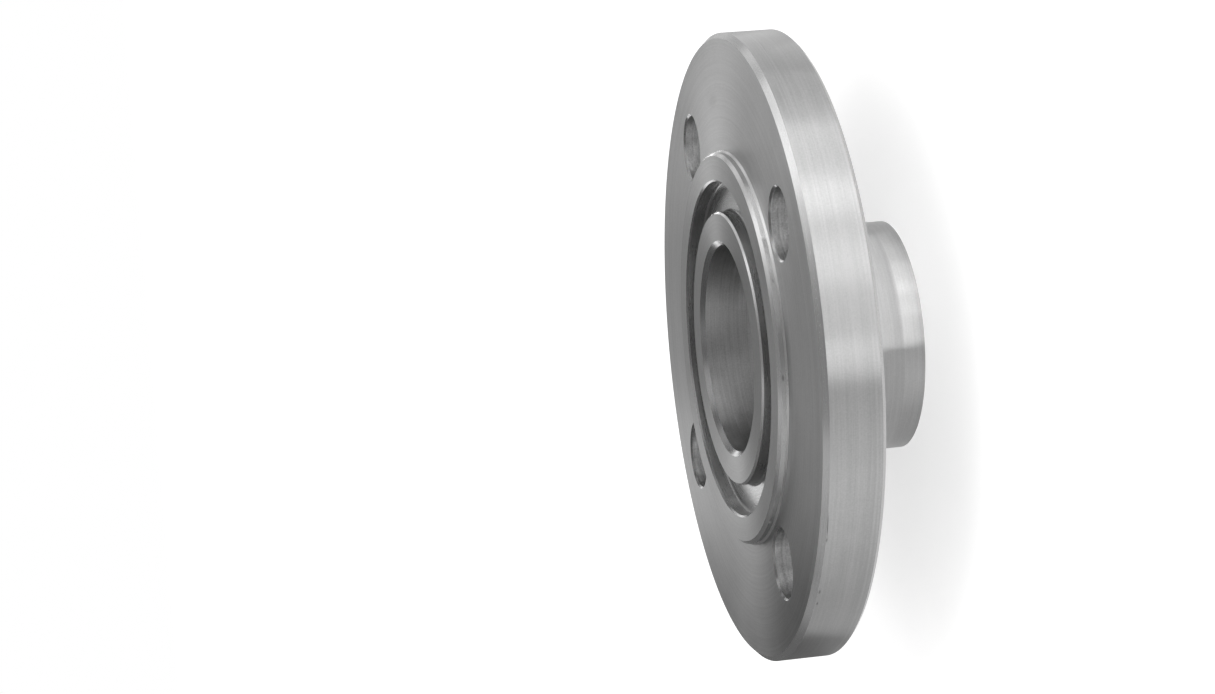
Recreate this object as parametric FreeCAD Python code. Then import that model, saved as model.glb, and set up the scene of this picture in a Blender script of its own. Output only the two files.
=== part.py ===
import FreeCAD, Part
import math
import os

# Weld neck pipe flange with a grooved jointing face, in one piece of turned steel.
# Lengths are in millimetres. The flange stands on its weld end: the bore runs along Z,
# from the weld end at z = 0 up to the jointing face, and the origin is on the bore's axis.

# Overall
overall_height = 45.0

# Plate
plate_diameter = 165.0
plate_thickness = 15.5
plate_front_chamfer = 1.4
plate_back_chamfer = 1.0

# Bolt holes: they straddle the X and Y axes, half a pitch to each side
bolt_circle_diameter = 125.0
bolt_count = 4
bolt_diameter = 16.0
bolt_clearance = 2.0
hole_chamfer = 0.5

# Raised face, the land that the joint seals on
raised_face_diameter = 103.0
raised_face_height = 2.5
raised_face_chamfer = 0.8
raised_face_foot_chamfer = 0.5

# Groove, cut for the tongue of the other flange with the same play on both walls
tongue_outer_diameter = 87.0
tongue_inner_diameter = 73.0
tongue_play = 0.5
groove_depth = 4.0
groove_corner_radius = 0.8
groove_mouth_chamfer = 0.45
ring_edge_chamfer = 0.5

# Neck: a cone that ends in a short cylinder of the pipe's own section
pipe_outer_diameter = 60.3
pipe_wall = 2.9
weld_end_length = 6.0
weld_end_edge_break = 0.3
taper_bend_radius = 4.0
neck_root_diameter = 74.0
neck_root_fillet = 5.0
bore_edge_chamfer = 1.2

# Sizes that follow from the ones above
plate_radius = plate_diameter / 2
pipe_radius = pipe_outer_diameter / 2
bore_radius = pipe_radius - pipe_wall
neck_root_radius = neck_root_diameter / 2
raised_face_radius = raised_face_diameter / 2
groove_outer_radius = tongue_outer_diameter / 2 + tongue_play
groove_inner_radius = tongue_inner_diameter / 2 - tongue_play
hole_radius = (bolt_diameter + bolt_clearance) / 2
bolt_circle_radius = bolt_circle_diameter / 2
bolt_pitch_angle = 360.0 / bolt_count

# Levels along the bore
weld_end_level = 0.0
taper_level = weld_end_level + weld_end_length
top_level = overall_height
plate_front_level = top_level - raised_face_height
plate_back_level = plate_front_level - plate_thickness
groove_floor_level = top_level - groove_depth

axis_point = FreeCAD.Vector(0, 0, 0)
axis_direction = FreeCAD.Vector(0, 0, 1)


def chamfer(size):
    """A corner cut off flat, the same distance back along both sides."""
    return ("chamfer", size)


def fillet(radius):
    """A corner turned to an arc that is tangent to both sides."""
    return ("fillet", radius)


def unit(vector):
    """The vector's direction, one millimetre long."""
    return vector * (1 / vector.Length)


def corner_curve(before, corner, after, treatment):
    """The short edge that takes a sharp corner's place, between its two neighbours."""
    kind, size = treatment
    back = unit(before - corner)
    ahead = unit(after - corner)
    if kind == "chamfer":
        return Part.LineSegment(corner + back * size, corner + ahead * size)
    half_angle = back.getAngle(ahead) / 2
    setback = size / math.tan(half_angle)
    inward = unit(back + ahead)
    middle = corner + inward * (size / math.sin(half_angle) - size)
    return Part.Arc(corner + back * setback, middle, corner + ahead * setback)


def turned_outline(corners):
    """A closed half section in the XZ plane, from (radius, level, treatment) corners."""
    points = [FreeCAD.Vector(radius, 0, level) for radius, level, treatment in corners]
    curves = []
    for index, corner in enumerate(corners):
        before = points[index - 1]
        after = points[(index + 1) % len(points)]
        curves.append(corner_curve(before, points[index], after, corner[2]))
    edges = []
    for index, curve in enumerate(curves):
        following = curves[(index + 1) % len(curves)]
        edges.append(curve.toShape())
        edges.append(Part.LineSegment(curve.EndPoint, following.StartPoint).toShape())
    return Part.Wire(edges)


def turned_blank():
    """The flange as it comes off the lathe: one half section turned about the bore."""
    weld_end = [
        (bore_radius, weld_end_level, chamfer(weld_end_edge_break)),
        (pipe_radius, weld_end_level, chamfer(weld_end_edge_break)),
    ]
    neck = [
        (pipe_radius, taper_level, fillet(taper_bend_radius)),
        (neck_root_radius, plate_back_level, fillet(neck_root_fillet)),
    ]
    plate = [
        (plate_radius, plate_back_level, chamfer(plate_back_chamfer)),
        (plate_radius, plate_front_level, chamfer(plate_front_chamfer)),
    ]
    raised_face = [
        (raised_face_radius, plate_front_level, chamfer(raised_face_foot_chamfer)),
        (raised_face_radius, top_level, chamfer(raised_face_chamfer)),
    ]
    groove = [
        (groove_outer_radius, top_level, chamfer(groove_mouth_chamfer)),
        (groove_outer_radius, groove_floor_level, fillet(groove_corner_radius)),
        (groove_inner_radius, groove_floor_level, fillet(groove_corner_radius)),
        (groove_inner_radius, top_level, chamfer(ring_edge_chamfer)),
    ]
    bore_mouth = [
        (bore_radius, top_level, chamfer(bore_edge_chamfer)),
    ]
    outline = turned_outline(weld_end + neck + plate + raised_face + groove + bore_mouth)
    return Part.Face(outline).revolve(axis_point, axis_direction, 360)


def hole_cutter():
    """What one drilled and countersunk hole takes away, turned about the hole's own axis."""
    overrun = hole_chamfer
    wide = hole_radius + hole_chamfer + overrun
    low = plate_back_level - overrun
    high = plate_front_level + overrun
    section = [
        FreeCAD.Vector(0, 0, low),
        FreeCAD.Vector(wide, 0, low),
        FreeCAD.Vector(hole_radius, 0, plate_back_level + hole_chamfer),
        FreeCAD.Vector(hole_radius, 0, plate_front_level - hole_chamfer),
        FreeCAD.Vector(wide, 0, high),
        FreeCAD.Vector(0, 0, high),
    ]
    outline = Part.makePolygon(section + section[:1])
    cutter = Part.Face(outline).revolve(axis_point, axis_direction, 360)
    cutter.translate(FreeCAD.Vector(bolt_circle_radius, 0, 0))
    return cutter


def bolt_hole_cutters():
    """One cutter for each bolt hole, spaced evenly round the bolt circle."""
    cutters = []
    for index in range(bolt_count):
        cutter = hole_cutter()
        cutter.rotate(axis_point, axis_direction, bolt_pitch_angle * (index + 0.5))
        cutters.append(cutter)
    return cutters


def make_flange():
    """The finished flange: the turned blank with its bolt holes."""
    return turned_blank().cut(bolt_hole_cutters()).removeSplitter()


os.makedirs("parts", exist_ok=True)
flange = make_flange()
flange.exportStep("parts/groove_flange.step")
print("solids", len(flange.Solids), "valid", flange.isValid())
print("volume", round(flange.Volume / 1000, 2), "cubic centimetres")
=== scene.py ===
# %% [markdown]
# # A weld neck flange with a grooved face, in turned stainless steel
#
# This lesson dresses one turned part for a photograph. The part comes from a CAD model, so
# its sizes are fixed. What we add is what a lathe and a drill leave behind: crisp chamfers,
# true fillets, fine turning marks, and the silky fans of light that such marks make. We also
# build the small studio round the part, because turned metal has hardly any colour of its
# own. It shows what stands round it.
#
# We work in metres, in the frame of the CAD model: the flange stands on its weld end, the
# bore runs up along Z, and the grooved face looks up.

# %% Load the frame
import math

import bpy
import numpy as np
from mathutils import Matrix, Vector


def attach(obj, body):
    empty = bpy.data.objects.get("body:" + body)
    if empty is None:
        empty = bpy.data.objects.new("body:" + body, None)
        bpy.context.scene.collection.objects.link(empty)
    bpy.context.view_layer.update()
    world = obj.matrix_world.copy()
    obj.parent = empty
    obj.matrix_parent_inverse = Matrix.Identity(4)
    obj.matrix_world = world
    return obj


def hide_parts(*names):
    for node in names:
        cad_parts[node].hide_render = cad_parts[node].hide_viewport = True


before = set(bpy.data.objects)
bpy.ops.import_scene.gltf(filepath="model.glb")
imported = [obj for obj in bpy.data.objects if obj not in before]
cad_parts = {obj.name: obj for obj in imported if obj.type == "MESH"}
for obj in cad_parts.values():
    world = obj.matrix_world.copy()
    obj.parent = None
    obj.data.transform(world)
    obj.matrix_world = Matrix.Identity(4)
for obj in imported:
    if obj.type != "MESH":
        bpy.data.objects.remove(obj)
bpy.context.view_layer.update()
MM = 0.001

# %% [markdown]
# ## The camera
#
# The photograph was taken from in front of the grooved face and a little above it, with the
# flange standing on its rim. Our flange stands on its weld end instead, so the camera is
# rolled by about a right angle. A camera can be set by three rotation angles, but those are
# hard to read when it is rolled. We give three things instead: where it is, what it looks
# at, and which way is up in the picture. The lens is long, 82 mm, and that keeps the far
# side of the plate nearly as large as the near side.

# %% Camera
camera_place = Vector((0.67527, 0.20842, 0.21550))
camera_target = Vector((-0.01859, -0.00224, 0.07301))
picture_up = Vector((-0.27283878, 0.95804614, -0.08778725))
lens_mm = 81.894

back = (camera_place - camera_target).normalized()
right = picture_up.cross(back).normalized()
up = back.cross(right)
camera_turn = Matrix((right, up, back)).transposed()

camera_data = bpy.data.cameras.new("photo_camera")
camera_data.lens = lens_mm
camera_data.sensor_width = 36.0
camera_data.clip_start = 0.01
camera = bpy.data.objects.new("photo_camera", camera_data)
camera.matrix_world = Matrix.Translation(camera_place) @ camera_turn.to_4x4()
bpy.context.scene.collection.objects.link(camera)
bpy.context.scene.camera = camera
bpy.context.scene.view_settings.view_transform = "Standard"
camera_azimuth = math.atan2(back.y, back.x)
print("camera distance", round((camera_place - camera_target).length, 3), "m")
print("camera azimuth", round(math.degrees(camera_azimuth), 1), "degrees")

# %% [markdown]
# ## Two helpers for materials
#
# Colours are written as sRGB hex, the way a colour picker shows them, and Cycles wants them
# linear. One function does that turn. The other adds a node, fills in its settings, and
# links or sets its inputs, so that a material reads as a short list of steps.


# %% Colour and node helpers
def linear(hex_colour):
    """sRGB hex to linear: c/12.92 below 0.04045, else ((c + 0.055) / 1.055) to the 2.4."""
    srgb = np.array([int(hex_colour[i : i + 2], 16) for i in (1, 3, 5)]) / 255
    low = srgb / 12.92
    high = ((srgb + 0.055) / 1.055) ** 2.4
    return (*np.where(srgb <= 0.04045, low, high).tolist(), 1.0)


def add(tree, kind, settings=None, **inputs):
    """One node of a kind. An input is a socket to link from, or a value to set.

    An input's name is its label with spaces as underscores, or _0, _1 for its number.
    """
    node = tree.nodes.new("ShaderNode" + kind)
    for name, value in (settings or {}).items():
        setattr(node, name, value)
    for name, value in inputs.items():
        key = int(name[1:]) if name[1:].isdigit() else name.replace("_", " ")
        if isinstance(value, bpy.types.NodeSocket):
            tree.links.new(value, node.inputs[key])
        else:
            node.inputs[key].default_value = value
    return node


def new_material(name):
    """An empty node material: (material, its tree, its output node)."""
    material = bpy.data.materials.new(name)
    material.use_nodes = True
    material.node_tree.nodes.clear()
    return material, material.node_tree, add(material.node_tree, "OutputMaterial")


print("mid grey #808080 is", round(linear("#808080")[0], 3), "in linear light")

# %% [markdown]
# ## The backdrop and the floor
#
# The picture has a white ground. We don't reach that with more lamps, because they would
# bleach the steel as well. The world simply shows a strength of 1 to the camera, and to
# reflections and glass, and a calmer level to everything else. The floor is matt pale
# paper. It is lit like any other thing, so it keeps the flange's soft shadow, and it adds
# a little of the same white for the camera and for reflections.

# %% World and floor
WHITE = linear("#FFFFFF")
paper_white = linear("#DCDCDC")
calm_sky = 0.8
white_sky = 1.0
lift_in_reflections = 0.36
lift_for_camera = 0.58

world = bpy.data.worlds.new("studio_world")
bpy.context.scene.world = world
world.use_nodes = True
world.node_tree.nodes.clear()
sky = world.node_tree


def seen_directly(tree):
    """1 where the camera, a reflection or glass looks at a surface, and 0 for the rest."""
    path = add(tree, "LightPath")
    either = add(tree, "Math", {"operation": "MAXIMUM"}, _0=path.outputs["Is Camera Ray"],
                 _1=path.outputs["Is Glossy Ray"])
    return add(tree, "Math", {"operation": "MAXIMUM"}, _0=either.outputs[0],
               _1=path.outputs["Is Transmission Ray"]).outputs[0]


sky_level = add(sky, "MapRange", Value=seen_directly(sky), To_Min=calm_sky,
                To_Max=white_sky)
ground = add(sky, "Background", Color=WHITE, Strength=sky_level.outputs[0])
add(sky, "OutputWorld", Surface=ground.outputs[0])

# The floor is a roll of uncoated paper. It has no gloss, so the eye sees only its shade.
paper, tree, output = new_material("matt_white_paper")
matt = add(tree, "BsdfDiffuse", Color=paper_white)
by_camera = add(tree, "Math", {"operation": "MULTIPLY"},
                _0=add(tree, "LightPath").outputs["Is Camera Ray"],
                _1=lift_for_camera - lift_in_reflections)
lift = add(tree, "Math", {"operation": "MULTIPLY_ADD"}, _0=seen_directly(tree),
           _1=lift_in_reflections, _2=by_camera.outputs[0])
glow = add(tree, "Emission", Color=WHITE, Strength=lift.outputs[0])
both = add(tree, "AddShader", _0=matt.outputs[0], _1=glow.outputs[0])
tree.links.new(both.outputs[0], output.inputs["Surface"])

floor_half = 6.0
floor_mesh = bpy.data.meshes.new("floor")
floor_mesh.from_pydata(
    [(-floor_half, -floor_half, 0), (floor_half, -floor_half, 0),
     (floor_half, floor_half, 0), (-floor_half, floor_half, 0)], [], [(0, 1, 2, 3)])
floor_mesh.materials.append(paper)
floor = bpy.data.objects.new("floor", floor_mesh)
bpy.context.scene.collection.objects.link(floor)
print("floor", 2 * floor_half, "m across")

# %% [markdown]
# ## The light tent
#
# Shiny turned parts are photographed in a tent of cloth. What makes them look like metal is
# that the tent isn't even. A low bright window stands beside the camera, a fill on the other
# side, the back is nearly dark with two thin bright slits, and the ceiling is dim. Dozens
# of area lamps could stand for that, but each would also light the paper and cast its own
# shadow. So the tent is one half sphere, and its light is a function of azimuth and
# elevation: it is dark, and every panel of cloth adds its own share. Only reflections see
# it. The camera and the paper don't.
#
# Azimuths are measured from the camera's own direction, positive towards the top of the
# picture, so the numbers read the way a photographer would place the cloth.


# %% Soft edges of a panel
def soft_step(x, edge, width):
    """0 before an edge and 1 after it, with a cubic ramp of the given width between."""
    t = np.clip((x - edge) / width + 0.5, 0, 1)
    return t * t * (3 - 2 * t)


def panel(azimuth, elevation, around, upward, soft_around, soft_upward):
    """1 inside a patch of the tent and 0 outside it: a product of four soft steps."""
    middle = sum(around) / 2
    near = (azimuth - middle + 180) % 360 - 180 + middle
    across = soft_step(near, around[0], soft_around) * (
        1 - soft_step(near, around[1], soft_around))
    rise = soft_step(elevation, upward[0], soft_upward) * (
        1 - soft_step(elevation, upward[1], soft_upward))
    return across * rise


print("across an edge 6 degrees soft:", soft_step(np.arange(-3, 4), 0, 6).round(2).tolist())

# %% Panels of the tent
# name, azimuths, elevations, softness of each, light it adds
tent_panels = [
    ("cloth", (-360, 360), (-20, 120), 1, 1, 0.13),
    ("low window", (-10, 49), (-20, 6.5), 9, 6, 3.95),
    ("edge of the window", (-12, 30), (-20, 6), 3, 5, 1.45),
    ("foot of the window", (-9.5, 25), (-8, 6.5), 9, 6, 1.1),
    ("fold in the window", (-4, 12), (-20, 14), 4, 8, 0.25),
    ("window centre", (16, 70), (-20, 7), 9, 6, 3.3),
    ("window middle", (10, 40), (18, 40), 15, 12, 0.83),
    ("soft window", (-20, 80), (-20, 30), 40, 25, 0.2),
    ("window shoulder", (37, 95), (3, 22), 9, 6, 2.15),
    ("upper window", (60, 100), (18, 36), 15, 10, 0.73),
    ("high window", (35, 107), (32, 57), 45, 11, 0.6),
    ("fold in the high window", (60, 96), (44, 60), 14, 8, 0.36),
    ("far edge", (98, 118), (7, 26), 9, 6, 0.4),
    ("far foot", (100, 135), (-20, 14), 10, 8, 0.5),
    ("far cloth", (120, 150), (8, 20), 8, 6, 0.2),
    ("back foot", (111, 168), (-20, 12), 9, 8, 0.32),
    ("back cloth", (138, 153), (17, 29), 9, 6, 0.55),
    ("far haze", (108, 136), (19, 34), 10, 8, 0.25),
    ("top light", (55, 130), (62, 86), 20, 10, 0.42),
    ("back haze", (112, 150), (28, 50), 20, 12, 0.38),
    ("upper slit", (153, 167.5), (-7, 18), 9, 6, 3.6),
    ("head of the upper slit", (163, 171), (21.5, 32), 6, 4, 0.6),
    ("between the slits", (168, 184), (-20, 20), 9, 8, 1.1),
    ("lower slit", (184.5, 195.6), (12, 30), 6, 6, 1.4),
    ("high slit", (174, 190), (31, 53), 9, 7, 0.7),
    ("over the slits", (165, 200), (48, 75), 16, 14, 0.25),
    ("flank", (-103, -61), (24, 35), 36, 15, 0.48),
    ("dark side", (258, 300), (8, 24), 15, 8, 0.27),
    ("fill", (-84, -36), (12, 104), 9, 9, 0.2),
    ("low fill", (-66, -19), (5, 26), 45, 12, 1.4),
    ("foot of the fill", (-60, -20), (-20, 5), 14, 6, 0.33),
    ("ceiling", (-63, 100), (44, 115), 9, 15, 0.1),
]
print(len(tent_panels), "panels, the brightest is the",
      max(tent_panels, key=lambda row: row[-1])[0])

# %% [markdown]
# ## Cards on the table
#
# The flange's underside and rim also mirror the table. A photographer lays cards there to
# darken or lift a reflection. They could be a pattern in the paper's own material, but then
# the camera would see them too. So each card is a piece of a flat ring just above the paper,
# it glows at one level, and only reflections see it.

# %% Cards
# name, azimuths, distances from the axis in metres, light it shows
table_cards = [
    ("black card", (0, 90), (0.14, 0.25), 0.17),
    ("back card", (130, 195), (0.14, 0.25), 0.8),
    ("dark card", (197, 255), (0.14, 0.25), 0.23),
    ("small card", (105, 135), (0.085, 0.14), 0.37),
    ("card under the neck", (-9, 80), (0.036, 0.062), 1.25),
    ("card under the rim", (-95, 95), (0.066, 0.095), 0.58),
]
card_level = 0.3 * MM
print(len(table_cards), "cards, lying", card_level / MM, "mm above the paper")

# %% [markdown]
# ## The tent's surface
#
# A real tent hangs on hoops. Ours could be a ready-made sphere with a picture of the panels
# on it. Working out its points as arrays is shorter, and the light is then a number kept at
# every point, which the material reads back.

# %% Points and light of the tent
tent_radius = 0.25
azimuth_steps = 360
elevation_steps = 90


def round_the_part(azimuth, radius, level):
    """Points in metres at an azimuth from the camera, a distance from the axis and a level."""
    turned = np.radians(azimuth) + camera_azimuth
    return np.stack(np.broadcast_arrays(
        radius * np.cos(turned), radius * np.sin(turned), level), -1).reshape(-1, 3)


azimuth, elevation = np.meshgrid(np.arange(azimuth_steps + 1) * 360 / azimuth_steps,
                                 np.linspace(0, 90, elevation_steps + 1))
sheets = [(round_the_part(azimuth, tent_radius * np.cos(np.radians(elevation)),
                          tent_radius * np.sin(np.radians(elevation))),
           sum(light * panel(azimuth, elevation, *shape) for _, *shape, light in tent_panels))]
for name, (start, end), distances, light in table_cards:
    azimuth, radius = np.meshgrid(np.linspace(start, end, end - start + 1), distances)
    sheets.append((round_the_part(azimuth, radius, card_level), np.full(azimuth.shape, light)))
print(len(sheets), "sheets with", sum(light.size for _, light in sheets), "points")

# %% Light tent
tent_points, tent_quads = [], []
for sheet_points, light in sheets:
    numbers = np.arange(light.size).reshape(light.shape) + sum(map(len, tent_points))
    tent_quads.append(np.stack([numbers[:-1, :-1], numbers[1:, :-1], numbers[1:, 1:],
                                numbers[:-1, 1:]], -1).reshape(-1, 4))
    tent_points.append(sheet_points)
tent_light = np.concatenate([light.ravel() for _, light in sheets])
tent_mesh = bpy.data.meshes.new("light_tent")
tent_mesh.from_pydata(np.vstack(tent_points).tolist(), [], np.vstack(tent_quads).tolist())
tent_mesh.attributes.new("light", "FLOAT", "POINT").data.foreach_set("value", tent_light)

# The cloth is woven nylon lit from outside. The eye sees it only as light in the steel.
cloth, tree, output = new_material("lit_tent_cloth")
kept_light = add(tree, "Attribute", {"attribute_name": "light"})
glow = add(tree, "Emission", Color=WHITE, Strength=kept_light.outputs["Fac"])
tree.links.new(glow.outputs[0], output.inputs["Surface"])
tent_mesh.materials.append(cloth)
tent = bpy.data.objects.new("light_tent", tent_mesh)
bpy.context.scene.collection.objects.link(tent)
tent.visible_camera = False
tent.visible_diffuse = False
tent.visible_shadow = False
print("tent light from", round(tent_light.min(), 2), "to", round(tent_light.max(), 2))

# %% [markdown]
# ## A soft lamp
#
# The white sky lights the paper from everywhere and leaves hardly a shadow. One large
# area lamp beyond the top edge of the picture, in line with the bright window, gives the
# shadow a side to fall to. A sun lamp would do that as well, but its shadow has a hard
# edge, and the lamp's size is what makes this one soft.

# %% Soft lamp
lamp_azimuth = camera_azimuth + math.radians(42)
lamp_elevation = math.radians(42)
lamp_distance = 1.2
lamp_size = 0.7
lamp_watts = 3.5
lamp_data = bpy.data.lights.new("soft_lamp", "AREA")
lamp_data.shape = "SQUARE"
lamp_data.size = lamp_size
lamp_data.energy = lamp_watts
lamp = bpy.data.objects.new("soft_lamp", lamp_data)
lamp_line = Vector((math.cos(lamp_elevation) * math.cos(lamp_azimuth),
                    math.cos(lamp_elevation) * math.sin(lamp_azimuth),
                    math.sin(lamp_elevation)))
lamp.location = lamp_line * lamp_distance
lamp.rotation_euler = lamp_line.to_track_quat("Z", "Y").to_euler()
lamp.visible_camera = False
lamp.visible_glossy = False
bpy.context.scene.collection.objects.link(lamp)
print("lamp at", [round(x, 2) for x in lamp.location])

# %% [markdown]
# ## The flange's sizes
#
# These are the real part's own dimensions in millimetres, the same as the CAD model's. The
# profile is a list of corners, walked anticlockwise round the half section: out along the
# weld end, up the outside, in over the jointing face, through the groove, and down the
# bore. Each corner says how it is finished, and each stretch after it says which cut of
# the lathe made it. We could dress the CAD's own mesh instead, but its facets are loose
# triangles, and polished metal shows every one of them.

# %% Sizes and profile corners
height = 45.0
plate_radius = 82.5
plate_front = 42.5
plate_back = 27.0
raised_radius = 51.5
groove_outer = 44.0
groove_inner = 36.0
groove_floor = 41.0
bore = 27.25
pipe = 30.15
taper_start = 6.0
neck_root = 37.0
hole = 9.0
hole_circle = 62.5
hole_edge = 0.5
hole_count = 4

# radius, level, kind of corner, its size, its number of steps, the cut after it
corners = [
    (bore, 0.0, "chamfer", 0.3, 1, "weld_end"),
    (pipe, 0.0, "chamfer", 0.3, 1, "neck"),
    (pipe, taper_start, "fillet", 4.0, 6, "neck"),
    (neck_root, plate_back, "fillet", 5.0, 12, "plate_back"),
    (plate_radius, plate_back, "chamfer", 1.0, 1, "rim"),
    (plate_radius, plate_front, "chamfer", 1.4, 1, "plate_front"),
    (raised_radius, plate_front, "chamfer", 0.5, 1, "raised_wall"),
    (raised_radius, height, "chamfer", 0.8, 1, "raised_face"),
    (groove_outer, height, "chamfer", 0.45, 1, "groove"),
    (groove_outer, groove_floor, "fillet", 0.8, 8, "groove"),
    (groove_inner, groove_floor, "fillet", 0.8, 8, "groove"),
    (groove_inner, height, "chamfer", 0.5, 1, "ring_face"),
    (bore, height, "chamfer", 1.2, 1, "bore"),
]
cuts = ["weld_end", "neck", "plate_back", "rim", "plate_front", "raised_wall",
        "raised_face", "groove", "ring_face", "bore", "inner_edge", "chamfer", "drilled"]
print(len(corners), "corners,", len(cuts), "kinds of cut")

# %% [markdown]
# ## From corners to a path
#
# A chamfer replaces a corner by two points, each the same distance back along its side. A
# fillet replaces it by an arc that touches both sides. We also keep the arc's centre,
# because it gives the true direction of the surface at every point. With true directions
# the shading of a fillet runs smoothly into the flat beside it, however few facets it has.
# Blender's Bevel would round the corners too, but not each by its own size and kind.


# %% Chamfers and fillets
def unit(vectors):
    """Each vector divided by its own length."""
    return vectors / np.linalg.norm(vectors, axis=-1, keepdims=True)


def corner_points(before, corner, after, kind, size, steps):
    """The points that take a corner's place, and the centre of their arc if they have one.

    A chamfer runs from the corner plus size along one side to the same on the other side.
    A fillet's centre lies on the bisector at size / sin(half the angle), and its points
    turn evenly from one touching point to the other.
    """
    towards = unit(np.array([before - corner, after - corner]))
    if kind == "chamfer":
        return corner + towards * size, np.full(2, np.nan)
    half = np.arccos(towards[0] @ towards[1]) / 2
    centre = corner + unit(towards.sum(0)) * size / np.sin(half)
    ends = corner + towards * size / np.tan(half) - centre
    angles = np.arctan2(ends[:, 1], ends[:, 0])
    sweep = (angles[1] - angles[0] + np.pi) % (2 * np.pi) - np.pi
    along = angles[0] + sweep * np.linspace(0, 1, steps + 1)
    return centre + size * np.stack([np.cos(along), np.sin(along)], -1), centre


square = np.array([(10.0, 0.0), (0.0, 0.0), (0.0, 10.0)])
print("a 1 mm chamfer on a square corner:", corner_points(*square, "chamfer", 1, 1)[0].tolist())

# %% Path round the half section
sharp = np.array([corner[:2] for corner in corners])
path, path_cuts, centres, straight = [], [], [], []
for index, (_, _, kind, size, steps, cut_after) in enumerate(corners):
    points, centre = corner_points(sharp[index - 1], sharp[index],
                                   sharp[(index + 1) % len(sharp)], kind, size, steps)
    own_cut = "chamfer" if kind == "chamfer" else corners[index - 1][5]
    if kind == "chamfer" and cut_after in ("groove", "bore"):
        own_cut = "inner_edge"
    path.append(points)
    path_cuts += [own_cut] * (len(points) - 1) + [cut_after]
    centres += [centre] * (len(points) - 1) + [np.full(2, np.nan)]
    straight += [False] * (len(points) - 1) + [True]
path = np.vstack(path)
ahead = np.roll(path, -1, axis=0) - path
run = np.concatenate([[0], np.cumsum(np.linalg.norm(ahead, axis=1))])
print(len(path), "points on the path,", round(run[-1], 1), "mm round the half section")

# %% [markdown]
# ## Which way the surface faces
#
# The path keeps the metal on its left, so the outward direction of a straight stretch is
# its own direction turned a quarter to the right. On an arc it is the line to or from the
# arc's centre, whichever points the same way as that. Blender can work directions out from
# the faces, but it only averages neighbours, and a fillet then looks dented.

# %% Directions along the path
facing = unit(np.stack([ahead[:, 1], -ahead[:, 0]], -1))
stretch_ends = np.stack([path, np.roll(path, -1, axis=0)], 1)
from_centre = stretch_ends - np.array(centres)[:, None]
arc = ~np.isnan(from_centre[:, 0, 0])
outward = np.repeat(facing[:, None], 2, axis=1)
arms = unit(from_centre[arc])
outward[arc] = arms * np.sign((arms * facing[arc][:, None]).sum(-1, keepdims=True))
print(int(arc.sum()), "stretches lie on arcs and", int((~arc).sum()), "are straight")

# %% [markdown]
# ## Turning the path into a surface
#
# A lathe makes a surface from two parameters: how far along the path the tool is, and how
# far round the work has turned. Blender's Screw and Spin do that as well, but they know
# nothing of cuts, directions or a map. So we work with whole arrays. Every patch of the mesh
# is a grid of points, and one function turns any such grid into four-sided faces, with
# their directions and with a map that is unrolled like a label: across the map is round
# the axis, and up the map is along the path. The map gives the steel the direction of its
# turning marks.

# %% Collecting patches
segments = 480
round_angles = np.arange(segments + 1) * 2 * np.pi / segments
map_name = "OFBake"
map_top = 0.9
map_gap = 0.004
points_made, faces_made, maps_made, normals_made, cuts_made = [], [], [], [], []


def keep(new_points):
    """Stores a block of points and returns their numbers, in the block's own shape."""
    start = sum(len(block) for block in points_made)
    flat_block = new_points.reshape(-1, 3)
    points_made.append(flat_block)
    return (start + np.arange(len(flat_block))).reshape(new_points.shape[:-1])


def corners_of_cells(grid):
    """The four corners of every cell: here, next column, next row and column, next row."""
    four = [grid[:-1, :-1], grid[:-1, 1:], grid[1:, 1:], grid[1:, :-1]]
    return np.stack(four, 2).reshape((-1, 4) + grid.shape[2:])


def add_patch(numbers, place_on_map, normals, cut):
    """Makes the faces of one grid of point numbers, all from the same cut."""
    faces_made.append(corners_of_cells(numbers))
    maps_made.append(corners_of_cells(place_on_map))
    normals_made.append(corners_of_cells(normals))
    cuts_made.append(np.full(len(faces_made[-1]), cuts.index(cut)))


print("patches of the mesh are grids, closed round the axis after", segments, "steps")


# %% Round the axis
def polar(angle, radius, level):
    """Points from cylinder coordinates: (radius cos angle, radius sin angle, level)."""
    return np.stack(np.broadcast_arrays(
        radius * np.cos(angle), radius * np.sin(angle), level), -1)


def on_map(angle, along):
    """Places on the unrolled map, from an angle and a distance along the path."""
    return np.stack(np.broadcast_arrays(
        angle / (2 * np.pi), along / run[-1] * (map_top - map_gap)), -1)


rings = keep(polar(round_angles[None, :-1], path[:, :1], path[:, 1:]))
rings = np.hstack([rings, rings[:, :1]])
print(rings.shape[0], "rings of", segments, "points")

# %% [markdown]
# ## The turned surfaces
#
# Rim, neck, raised face, groove and bore are plain turned work. Every stretch of the path
# now becomes one band of the mesh, except the two flat faces of the plate. Those are
# drilled, and need faces that run round the holes.

# %% Bands
for index, cut in enumerate(path_cuts):
    if straight[index] and cut in ("plate_front", "plate_back"):
        continue
    band = np.stack([rings[index], rings[(index + 1) % len(rings)]])
    across, along = np.meshgrid(round_angles, run[index : index + 2])
    aim = outward[index][:, None]
    add_patch(band, on_map(across, along), polar(across, aim[..., 0], aim[..., 1]), cut)
print(sum(len(block) for block in faces_made), "faces in the bands")

# %% [markdown]
# ## The drilled faces
#
# The four bolt holes could be cut with Boolean, but it leaves long thin faces that spoil
# the shine. Instead, each hole gets a quarter of the plate's ring. Its edge has two arcs and
# two straight sides, and the hole has the same number of points, shared out in order.
# Between the two we interpolate in angle and radius, not in x and y. That keeps the outer
# lines exact arcs about the bore, and lets them close in on the hole step by step.

# %% Matching a hole to its sector
side_steps = 12
side_angle = math.radians(24)
arc_steps = segments // hole_count
quarter = 2 * np.pi / hole_count


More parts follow.
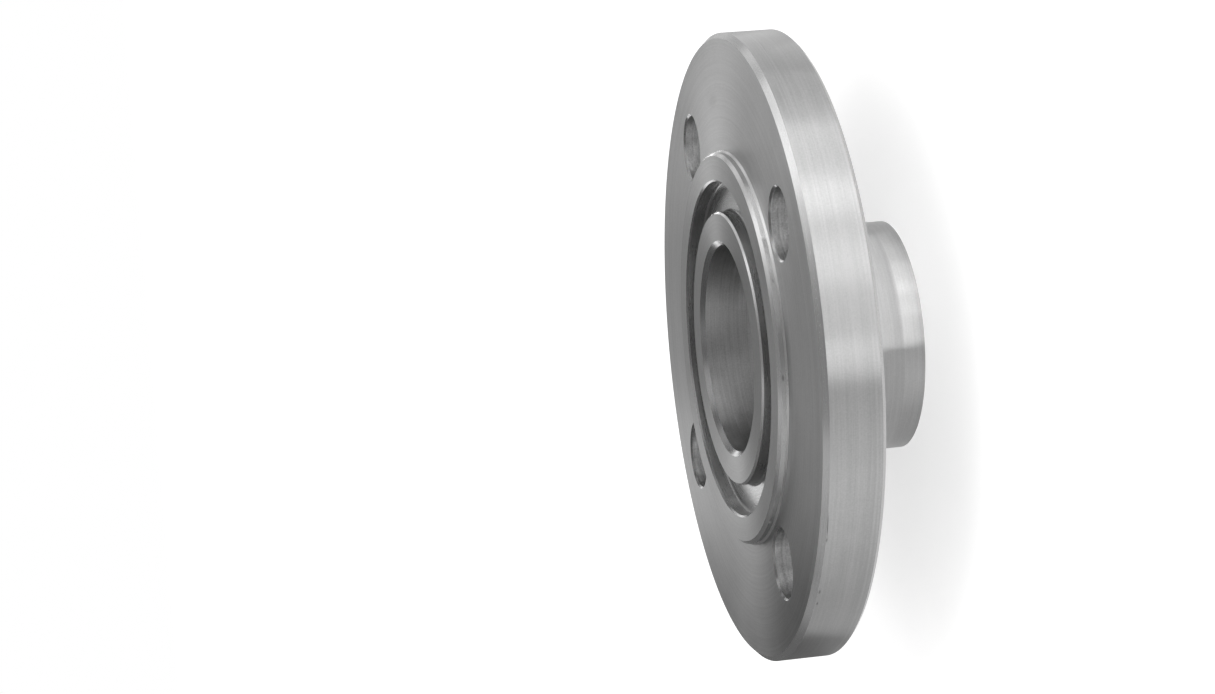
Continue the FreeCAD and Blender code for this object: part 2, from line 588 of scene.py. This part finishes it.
def hole_ring(turns, radius, level, sector):
    """Points round one hole: its centre plus radius times (sin turns out, cos turns along)."""
    middle = quarter * (sector + 0.5)
    out = np.array([math.cos(middle), math.sin(middle)])
    along = np.array([-math.sin(middle), math.cos(middle)])
    flat_points = (hole_circle * out + radius * np.sin(turns)[..., None] * out
                   + radius * np.cos(turns)[..., None] * along)
    return np.column_stack([flat_points, np.full(len(flat_points), level)])


def edge_turns(outer_first):
    """The turn about the hole that each point on a sector's edge is matched with.

    An arc of the edge takes half a turn less twice the side angle, a straight side takes
    twice the side angle, and each is shared out in equal steps.
    """
    sign = -1 if outer_first else 1
    stops = np.cumsum([0, np.pi - 2 * side_angle, 2 * side_angle, np.pi - 2 * side_angle,
                       2 * side_angle])
    counts = [arc_steps, side_steps, arc_steps, side_steps]
    pieces = [np.linspace(a, b, n, endpoint=False)
              for a, b, n in zip(stops[:-1], stops[1:], counts)]
    start = sign * (side_angle - np.pi)
    return start + sign * np.concatenate(pieces)


print(len(edge_turns(True)), "points round each hole")

# %% Faces round the holes
spoke_steps = 7
# Above 1, the steps are short at the hole and grow towards the sector's edge.
spoke_growth = 1.25
face_holes = {}
for cut, aim in (("plate_front", 1.0), ("plate_back", -1.0)):
    index = next(i for i, name in enumerate(path_cuts) if name == cut and straight[i])
    (first_radius, level), (last_radius, _) = path[index], path[(index + 1) % len(path)]
    inside = np.linspace(first_radius, last_radius, side_steps + 1)[1:-1]
    side_angles = np.arange(hole_count)[:, None] * quarter
    sides = keep(polar(side_angles, inside[None], level))
    for sector in range(hole_count):
        here = sector * arc_steps
        following = (sector + 1) % hole_count
        span = np.arange(here, here + arc_steps + 1)
        edge = np.concatenate([
            rings[index][span], sides[following], rings[(index + 1) % len(path)][span[::-1]],
            sides[sector][::-1]])
        edge_angle = np.concatenate([
            round_angles[span], np.full(side_steps - 1, quarter * (sector + 1)),
            round_angles[span[::-1]], np.full(side_steps - 1, quarter * sector)])
        edge_radius = np.concatenate([
            np.full(arc_steps + 1, first_radius), inside,
            np.full(arc_steps + 1, last_radius), inside[::-1]])
        turns = edge_turns(first_radius > last_radius)
        rim_points = hole_ring(turns, hole + hole_edge, level, sector)
        hole_angle = np.arctan2(rim_points[:, 1], rim_points[:, 0]) % (2 * np.pi)
        hole_radius = np.hypot(rim_points[:, 0], rim_points[:, 1])
        share = (np.arange(spoke_steps) / spoke_steps)[:, None] ** spoke_growth
        angle = hole_angle + share * (edge_angle - hole_angle)
        radius = hole_radius + share * (edge_radius - hole_radius)
        inner = keep(polar(angle, radius, level))
        numbers = np.vstack([inner, edge[None]])
        angle = np.vstack([angle, edge_angle[None]])
        radius = np.vstack([radius, edge_radius[None]])
        place = on_map(angle, run[index] + np.abs(radius - first_radius))
        close = np.append(np.arange(numbers.shape[1]), 0)
        normals = np.zeros(numbers[:, close].T.shape + (3,))
        normals[..., 2] = aim
        add_patch(numbers[:, close].T, place[:, close].transpose(1, 0, 2), normals, cut)
        face_holes[cut, sector] = inner[0]
        if cut == "plate_front":
            front_turns = turns
print(sum(len(block) for block in faces_made), "faces with the drilled ones")

# %% [markdown]
# ## The walls of the holes
#
# The holes are drilled through and broken by a small countersink at both ends. Each wall
# joins the ring of points on the front face to the one on the back, point by point, so the
# skin stays closed where a separate tube would leave a seam. The two rings run opposite
# ways, because each is seen from its own side, so the back one is read in reverse.

# %% Hole walls
# The share of a hole's strip on the map that each countersink takes.
broken_share = 0.05
for sector in range(hole_count):
    front = face_holes["plate_front", sector]
    count = len(front)
    back_order = (2 * arc_steps + side_steps - np.arange(count)) % count
    back_ring = face_holes["plate_back", sector][back_order]
    upper = keep(hole_ring(front_turns, hole, plate_front - hole_edge, sector))
    lower = keep(hole_ring(front_turns, hole, plate_back + hole_edge, sector))
    close = np.append(np.arange(count), 0)
    ladder = np.stack([front, upper, lower, back_ring])[:, close]
    centre = polar(quarter * (sector + 0.5), hole_circle, 0.0)
    wall_points = np.vstack(points_made)[ladder]
    inward = unit((centre - wall_points) * (1, 1, 0))
    depth = np.array([0.0, broken_share, 1 - broken_share, 1.0])[:, None]
    turn_share = np.linspace(0, 1, count + 1)[None]
    wall_map = np.stack(np.broadcast_arrays(
        (sector + map_gap + turn_share * (1 - 2 * map_gap)) / hole_count,
        map_top + map_gap + depth * (1 - map_top - 2 * map_gap)), -1)
    for row, lean, cut in ((0, 1.0, "inner_edge"), (1, 0.0, "drilled"),
                           (2, -1.0, "inner_edge")):
        normals = unit(inward[row : row + 2] + (0, 0, lean))
        add_patch(ladder[row : row + 2], wall_map[row : row + 2], normals, cut)
print(sum(len(block) for block in faces_made), "faces in all")

# %% [markdown]
# ## Building the mesh
#
# The blocks go into one mesh, in metres. Its points are shared wherever patches meet, so
# the skin is closed, and each face keeps the number of the cut that made it. The true
# directions go in as custom normals. A flange made of one object per cut would be easier to
# colour, but it would leave seams where a lathe leaves none.

# %% Mesh
points = np.vstack(points_made) * MM
faces = np.vstack(faces_made)
flange_mesh = bpy.data.meshes.new("turned_flange")
flange_mesh.from_pydata(points.tolist(), [], faces.tolist())
unrolled = flange_mesh.uv_layers.new(name=map_name)
unrolled.uv.foreach_set("vector", np.vstack(maps_made).astype(np.float32).ravel())
flange_mesh.polygons.foreach_set("use_smooth", np.ones(len(faces), bool))
flange_mesh.normals_split_custom_set(np.vstack(normals_made).reshape(-1, 3).tolist())
flange_mesh.update()
flange = bpy.data.objects.new("turned_flange", flange_mesh)
bpy.context.scene.collection.objects.link(flange)

used, uses = np.unique(np.sort(np.stack([faces, np.roll(faces, -1, 1)], -1).reshape(-1, 2), 1),
                       axis=0, return_counts=True)
print(len(points), "points,", 2 * len(faces), "triangles, open edges:", int((uses != 2).sum()))

# %% [markdown]
# ## Turned stainless steel
#
# The flange is austenitic stainless steel, forged and then turned all over. A lathe tool
# leaves a fine thread of ridges, a few tenths of a millimetre apart. They run round the
# axis, so light spreads across them and hardly along them. On a flat face that spread
# makes the silky fans that seem to turn with your head, and on a rim it makes soft bands.
# Real ridges as bump would need thousands of them, and would flicker. Blender's anisotropy
# does it with one number: the map gives the direction of the ridges, and a turn of a
# quarter puts the long side of the gloss across them.
#
# On top of that come four patterns, each worked out from real sizes. The feed marks are
# really 0.2 to 0.3 mm apart, finer than a pixel of the photograph, so they are drawn about
# twice as coarse. Streaks are torn bits of ridge, a few millimetres long. Clouds are the
# faint dullness that fingers and coolant leave, and grain is the crystals of the steel,
# drawn at 0.4 mm where the real ones are finer than the eye can part. The first two are
# drawn in the lathe's own terms: how far across the ridges, read from the unrolled map,
# and how far round the axis.

# %% Sizes of the patterns
map_mm = run[-1] / (map_top - map_gap)
streak_mm = 0.55
cloud_mm = 14.0
grain_mm = 0.4
noise_roughness = 0.6
# Feed marks run this many times further round the axis than streaks before they change.
feed_reach = 20
# A noise strays about a quarter from its middle, so times 4 it strays by one whole share.
swing = 4
# The four noises have a middle of 0.5 each. Their sum runs from dark to light about 2.
darkest_sum, lightest_sum = 1.6, 2.4
print("the map is", round(map_mm, 1), "mm high, which is", round(map_mm / streak_mm), "streaks")


# %% Noise in the lathe's terms
def lathe_terms(tree, place, around_hole):
    """Where a point lies for the lathe: its direction round the axis, and its map height.

    The direction is (x, y, 0) divided by its length. In a drilled hole, which is far from
    the axis and small, it is the place divided by the hole's radius instead.
    """
    flat = add(tree, "VectorMath", {"operation": "MULTIPLY"}, _0=place, _1=(1, 1, 0))
    heading = add(tree, "VectorMath", {"operation": "NORMALIZE"}, _0=flat.outputs[0])
    if around_hole:
        heading = add(tree, "VectorMath", {"operation": "SCALE"}, _0=place,
                      Scale=1 / (hole * MM))
    unrolled_place = add(tree, "UVMap", {"uv_map": map_name})
    travel = add(tree, "SeparateXYZ", _0=unrolled_place.outputs[0])
    return heading.outputs[0], travel.outputs["Y"]


def ridges(tree, heading, travel, step_mm, rate, detail):
    """Noise read at the heading times a rate, plus the path's length in steps along Z.

    So it changes with every step across the ridges, and at the rate along them.
    """
    scaled = add(tree, "Math", {"operation": "MULTIPLY"}, _0=travel, _1=map_mm / step_mm)
    upward = add(tree, "CombineXYZ", Z=scaled.outputs[0])
    slow = add(tree, "VectorMath", {"operation": "SCALE"}, _0=heading, Scale=rate)
    where = add(tree, "VectorMath", {"operation": "ADD"}, _0=slow.outputs[0],
                _1=upward.outputs[0])
    return add(tree, "TexNoise", Vector=where.outputs[0], Scale=1.0, Detail=detail,
               Roughness=noise_roughness).outputs["Fac"]


print("a streak is", streak_mm, "mm wide, and a feed mark", feed_reach, "times as long as it")

# %% [markdown]
# ## Wear marks and painted dark reflections
#
# The real rim has a few knocks and a long scratch. On the low wall, two dark ovals are
# painted shade, standing in for the reflection of a dark edge. A mark could be painted on the
# map, but it is simpler to give its place and size in millimetres.
# Each is an oval in which the steel is darker and duller, and it fades towards its edge.

# %% Places of the marks
# One dark grey for every mark: worn steel on the rim and the face, painted shade on the low
# wall.
worn_and_shaded_steel = "#4C4C4B"
mark_dulling = 0.12
# The inner part of an oval in which a mark has its full strength.
mark_core = 0.3
# azimuth, radius, level, half sizes outward, round and upward, lean, strength
rim_marks = [
    (-15.3, plate_radius, 40.97, (3.0, 4.9, 0.16), 1.2, 0.75),
    (-18.2, plate_radius, 40.88, (3.0, 0.9, 0.30), 0, 0.5),
    (-30.5, plate_radius, 40.65, (3.0, 1.1, 0.36), 0, 0.5),
    (-33.8, plate_radius, 40.57, (3.0, 0.9, 0.28), 0, 0.6),
    (81.5, plate_radius, 37.0, (3.0, 8.0, 0.16), -2.5, 0.2),
]
face_marks = [(107.5, 65.4, plate_front, (2.6, 6.0, 3.0), 0, 0.12)]
# Painted dark reflections on the low wall: dark ovals where it would mirror a dark edge.
painted_wall_reflections = [
    (7.8, raised_radius, 43.7, (2.0, 1.2, 0.45), 0, 0.5),
    (34.7, raised_radius, 43.55, (2.0, 0.8, 0.3), 0, 0.35),
]
print(len(rim_marks + face_marks + painted_wall_reflections), "marks")


# %% One mark in a material
def mark_share(tree, place, mark):
    """How strongly one mark shows, of wear or of painted shade: its strength in the middle, 0
    outside its oval.

    A mark is its azimuth in degrees, its radius and level, its half sizes outward, round
    and upward, its lean in degrees, and its strength.
    """
    azimuth, radius, level, half_sizes, lean, strength = mark
    angle = math.radians(azimuth)
    middle = Vector((radius * math.cos(angle), radius * math.sin(angle), level)) * MM
    local = add(tree, "Mapping", {"vector_type": "TEXTURE"}, Vector=place, Location=middle,
                Rotation=(math.radians(lean), 0, angle), Scale=Vector(half_sizes) * MM)
    away = add(tree, "VectorMath", {"operation": "LENGTH"}, _0=local.outputs[0])
    return add(tree, "MapRange", {"interpolation_type": "SMOOTHSTEP"},
               Value=away.outputs["Value"], From_Min=1.0, From_Max=mark_core, To_Min=0.0,
               To_Max=strength).outputs[0]


print("a mark fades over the outer", 1 - mark_core, "of its half size")


# %% Turned steel
def turned_steel(name, hex_dark, hex_light, roughness, anisotropy, feed_mm, feed_depth_mm,
                 streak_rate, streak_share=0.03, cloud_share=0.03, marks=(), around_hole=False):
    """Stainless steel with turning marks.

    Roughness = base + shares of streaks and clouds. Colour runs from dark to light with
    the sum of feed, streaks, clouds and grain. Height = feed depth times a noise drawn out
    along the ridges. Every mark darkens the steel and dulls it.
    """
    material, tree, output = new_material(name)
    place = add(tree, "TexCoord").outputs["Object"]
    heading, travel = lathe_terms(tree, place, around_hole)
    feed = ridges(tree, heading, travel, feed_mm, streak_rate / feed_reach, 1.0)
    streaks = ridges(tree, heading, travel, streak_mm, streak_rate, 3.0)
    clouds = add(tree, "TexNoise", Vector=place, Scale=1 / (cloud_mm * MM), Detail=5.0,
                 Roughness=noise_roughness).outputs["Fac"]
    grain = add(tree, "TexNoise", Vector=place, Scale=1 / (grain_mm * MM), Detail=1.0,
                Roughness=noise_roughness).outputs["Fac"]
    # The sum of all marks, real wear and painted dark reflections alike.
    worn_and_shaded = 0.0
    for mark in marks:
        worn_and_shaded = add(tree, "Math", {"operation": "ADD"}, _0=worn_and_shaded,
                   _1=mark_share(tree, place, mark)).outputs[0]
    streaked = add(tree, "Math", {"operation": "MULTIPLY_ADD"}, _0=streaks,
                   _1=swing * streak_share,
                   _2=roughness - swing / 2 * streak_share - swing / 2 * cloud_share)
    clouded = add(tree, "Math", {"operation": "MULTIPLY_ADD"}, _0=clouds,
                  _1=swing * cloud_share, _2=streaked.outputs[0])
    rough = add(tree, "Math", {"operation": "MULTIPLY_ADD"}, _0=worn_and_shaded, _1=mark_dulling,
                _2=clouded.outputs[0])
    arcs = add(tree, "Math", {"operation": "ADD"}, _0=streaks, _1=feed)
    matt = add(tree, "Math", {"operation": "ADD"}, _0=clouds, _1=grain)
    mixed = add(tree, "Math", {"operation": "ADD"}, _0=arcs.outputs[0], _1=matt.outputs[0])
    tone = add(tree, "MapRange", Value=mixed.outputs[0], From_Min=darkest_sum,
               From_Max=lightest_sum)
    clean = add(tree, "Mix", {"data_type": "RGBA"}, Factor=tone.outputs[0])
    clean.inputs["A"].default_value = linear(hex_dark)
    clean.inputs["B"].default_value = linear(hex_light)
    colour = add(tree, "Mix", {"data_type": "RGBA"}, Factor=worn_and_shaded, A=clean.outputs["Result"])
    colour.inputs["B"].default_value = linear(worn_and_shaded_steel)
    bump = add(tree, "Bump", Height=feed, Distance=feed_depth_mm * MM, Strength=1.0)
    ridge_line = add(tree, "Tangent", {"direction_type": "UV_MAP", "uv_map": map_name})
    steel = add(tree, "BsdfPrincipled", Base_Color=colour.outputs["Result"], Metallic=1.0,
                Roughness=rough.outputs[0], Anisotropic=anisotropy,
                Anisotropic_Rotation=0.25, Normal=bump.outputs[0], Tangent=ridge_line.outputs[0])
    tree.links.new(steel.outputs[0], output.inputs["Surface"])
    return material


finish = {}
print("one recipe for", len(cuts), "kinds of cut")

# %% [markdown]
# ## The faced surfaces
#
# Plate, raised face and ring look along the bore, and so does the plate's back. The tool
# crossed each from edge to edge. One material could serve them all, but each was cut at its
# own feed, and those that we can see are set to different greys, painted light and shade.

# %% Finishes of the faces
# The bolting face was faced with a round-nosed tool at a coarse feed. The eye gets a satin
# grey with broad fans of light, and one faint smear where a glove wiped it.
finish["plate_front"] = turned_steel("faced_stainless_steel", "#B2B2B2", "#C4C4C4",
                                     0.46, 0.85, 0.6, 0.0012, 5, marks=face_marks)
# The back of the plate was faced more roughly, since only nuts sit on it. It is a shade
# darker, with deeper feed marks.
finish["plate_back"] = turned_steel("rough_faced_stainless_steel", "#A2A2A2", "#BABABA",
                                    0.46, 0.85, 0.8, 0.005, 5)
# The land that takes the gasket's load was faced at a fine feed. Its grey is set darker than
# the plate's, as painted shade, and its fans are a little tighter.
finish["raised_face"] = turned_steel("fine_faced_stainless_steel", "#9E9E9E", "#B3B3B3",
                                     0.42, 0.85, 0.5, 0.0012, 4)
# The narrow ring between groove and bore was faced in the same pass. Its grey is set the
# darkest of the faces, as painted shade.
finish["ring_face"] = turned_steel("ring_faced_stainless_steel", "#8E8E8E", "#A2A2A2",
                                   0.42, 0.85, 0.5, 0.002, 3)
print("faces:", [material.name for material in finish.values()])

# %% [markdown]
# ## The outside
#
# Rim, neck and the low wall were turned lengthwise, so their ridges run round them. A high
# anisotropy keeps every band of light narrow round the axis and spreads it lengthwise.
# Plain roughness would blur it both ways, and the metal would look like grey plastic.

# %% Finishes of the outside
# The rim was turned lengthwise at a fine feed. Light spreads along the plate's thickness
# and stays sharp round it, so the window shows as soft bands. It carries the few real
# knocks and scratches of handling.
finish["rim"] = turned_steel("turned_stainless_steel", "#A2A2A2", "#B3B3B3",
                             0.33, 0.97, 0.5, 0.002, 5, marks=rim_marks)
# Cone and weld end were turned last with a sharp tool. Their grey is set lighter than the
# rim's, painted light that brightens the neck.
finish["neck"] = turned_steel("smooth_turned_stainless_steel", "#B7B7B7", "#C6C6C6",
                              0.32, 0.97, 0.5, 0.002, 2.5)
# The low wall round the raised face was cut by the flank of the facing tool, which rubs it
# nearly smooth. Its grey is set far lighter than the rim's, as painted light, and it carries
# two painted dark reflections. The eye gets a narrow line that is bright in places and dark in
# others.
finish["raised_wall"] = turned_steel("shoulder_turned_stainless_steel", "#E4E4E4", "#EFEFEF",
                                     0.2, 0.97, 0.4, 0.0, 3, 0.01, 0.01, marks=painted_wall_reflections)
print("so far:", len(finish), "finishes")

# %% [markdown]
# ## The inside and the edges
#
# Groove and bore are hollow, so their steel mirrors steel, and they look dark without any
# dark colour. The edges are narrow flats with a gloss of their own. They could be left to
# Bevel with one material, but a chamfer on the outside gets a light grey as painted highlight,
# and one that faces inward a darker grey as painted shade.

# %% Finishes of the inside and the edges
# The groove was plunged and wiped with a form tool. Its floor and walls are smoother than
# the faces, but they see each other more than the sky, and look dark.
finish["groove"] = turned_steel("grooved_stainless_steel", "#A8A8A8", "#B9B9B9",
                                0.28, 0.8, 0.4, 0.0002, 3)
# The bore was bored out with a long thin bar that chattered a little. Wide cloudy bands
# lie across it, and its gloss is uneven.
finish["bore"] = turned_steel("bored_stainless_steel", "#AEAEAE", "#C9C9C9",
                              0.34, 0.85, 0.5, 0.002, 2, 0.05, 0.04)
# The edges that face inward, at the mouths of bore, groove and holes, were broken last
# with a chamfering tool. It leaves a smooth facet, and its grey is set darker than the outer
# chamfers', painted shade that dims their glints.
finish["inner_edge"] = turned_steel("edge_broken_stainless_steel", "#B2B2B2", "#BEBEBE",
                                    0.24, 0.7, 0.4, 0.0, 2)
# The small chamfers were cut with a sharp tool at the slowest feed. They are the smoothest
# facets, and their grey is set the lightest, a painted highlight that draws the thin light
# lines round every edge.
finish["chamfer"] = turned_steel("chamfered_stainless_steel", "#E6E6E6", "#EFEFEF",
                                 0.24, 0.8, 0.4, 0.0, 3)
# The bolt holes were drilled. Chips scratched the walls round and round, which leaves coarse
# broken lines, rough to the eye. Their grey is set light, painted light inside the holes.
finish["drilled"] = turned_steel("drilled_stainless_steel", "#B4B4B4", "#E8E8E8",
                                 0.34, 0.6, 0.8, 0.012, 4, 0.06, around_hole=True)
# The weld end's narrow ring is the rim's finish again, from the same kind of cut.
finish["weld_end"] = finish["rim"]
print("in all:", len(finish), "finishes")

# %% [markdown]
# ## A steel for every face
#
# Every face knows the cut that made it. The flange could be split into one object for each
# finish, but it is one forging. So it stays one mesh with a list of steels, and each face
# gets the number of its own.

# %% Steel on the faces
materials = list(dict.fromkeys(finish.values()))
for material in materials:
    flange_mesh.materials.append(material)
slot_of_cut = np.array([materials.index(finish[cut]) for cut in cuts])
flange_mesh.polygons.foreach_set("material_index", slot_of_cut[np.concatenate(cuts_made)])
print([material.name for material in materials])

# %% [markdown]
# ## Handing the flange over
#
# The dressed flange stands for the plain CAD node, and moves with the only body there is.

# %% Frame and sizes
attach(flange, "root")
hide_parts("groove_flange")
